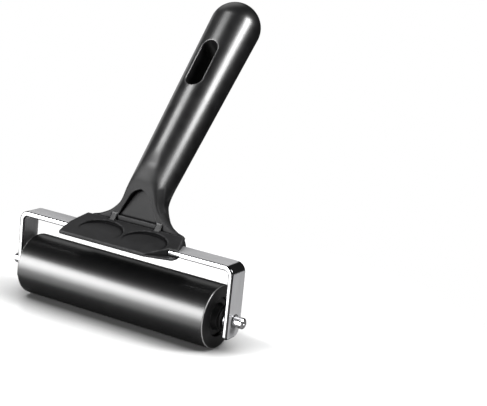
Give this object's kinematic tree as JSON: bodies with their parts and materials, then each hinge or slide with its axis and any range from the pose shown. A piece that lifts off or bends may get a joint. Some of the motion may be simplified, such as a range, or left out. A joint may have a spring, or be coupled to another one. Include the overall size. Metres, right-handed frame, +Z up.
{
  "type": "rubber brayer",
  "caption": "Hand brayer: a free-turning hard rubber roller on an axle in a bent steel strip frame, with a leaning plastic handle that has a hanging slot and thumb rests.",
  "frame": {"origin": "on the line the roller stands on, in the middle of the overall box", "axes": "+X along the roller to the right, +Y back towards the leaning handle, +Z up along the frame arms"},
  "size_m": [0.1242, 0.0994, 0.1398],
  "materials": {
    "black_plastic": "satin gloss, moulded",
    "frame_steel": "bright polished strip",
    "axle_steel": "turned rod",
    "black_rubber": "smooth ground hard rubber",
    "core_plastic": "matte",
    "plug_plastic": "matte",
    "bush_plastic": "natural nylon",
    "washer_steel": "plated"
  },
  "bodies": {
    "frame_body": {"handle": "black_plastic", "frame_strip": "frame_steel", "axle": "axle_steel", "washer_left": "washer_steel", "washer_right": "washer_steel"},
    "roller_body": {"rubber_sleeve": "black_rubber", "core_tube": "core_plastic", "end_plug_left": "plug_plastic", "end_plug_right": "plug_plastic", "bush_left": "bush_plastic", "bush_right": "bush_plastic"}
  },
  "joints": [
    {"name": "roller_spin", "type": "hinge", "parent": "frame_body", "child": "roller_body", "pos_m": [0, -0.03573, 0.014], "axis": [1, 0, 0], "continuous": true}
  ]
}
